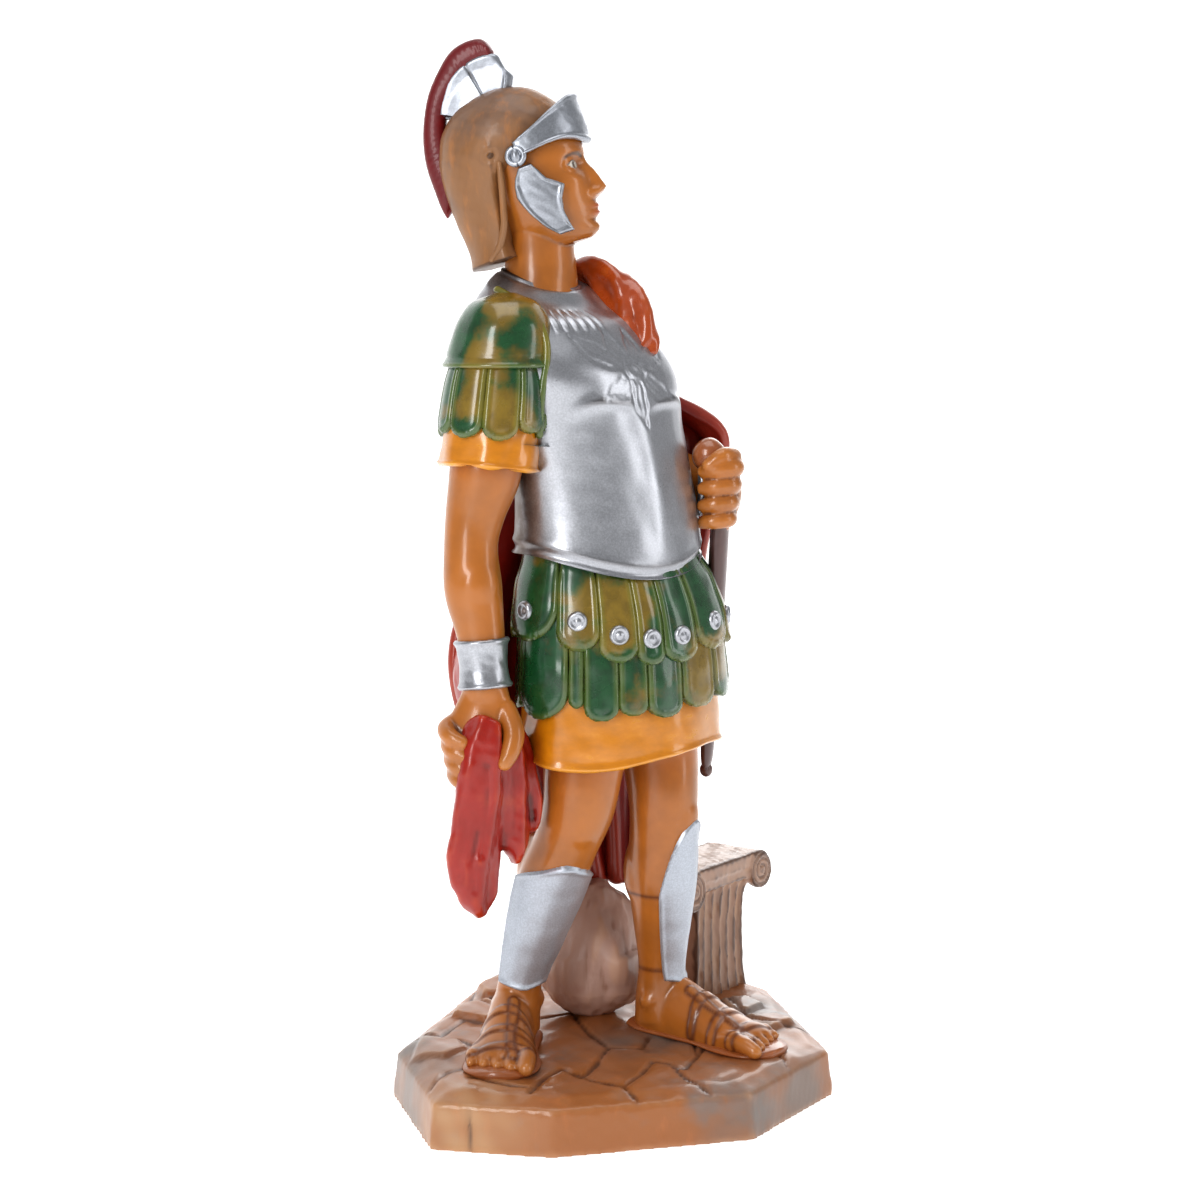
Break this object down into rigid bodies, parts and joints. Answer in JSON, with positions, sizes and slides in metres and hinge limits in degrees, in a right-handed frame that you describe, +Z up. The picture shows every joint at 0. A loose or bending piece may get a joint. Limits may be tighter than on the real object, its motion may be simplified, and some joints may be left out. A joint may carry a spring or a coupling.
{
  "type": "roman soldier figurine",
  "caption": "Hand-painted moulded figurine of a standing Roman soldier with crested helmet, cuirass, strap kilt and cloak, on a paved base with a rock and a fallen capital.",
  "frame": {"origin": "on the underside of the base, in the middle of the figurine's box seen from above", "axes": "+Z up, -Y out of the base's long front edge, so the chest turns about 30 degrees towards +X from -Y"},
  "size_m": [0.13, 0.1358, 0.3008],
  "materials": {
    "painted_plastic": "hand-painted moulded plastic under a clear gloss varnish"
  },
  "bodies": {
    "root": {"soldier_figurine": "painted_plastic"}
  },
  "joints": []
}
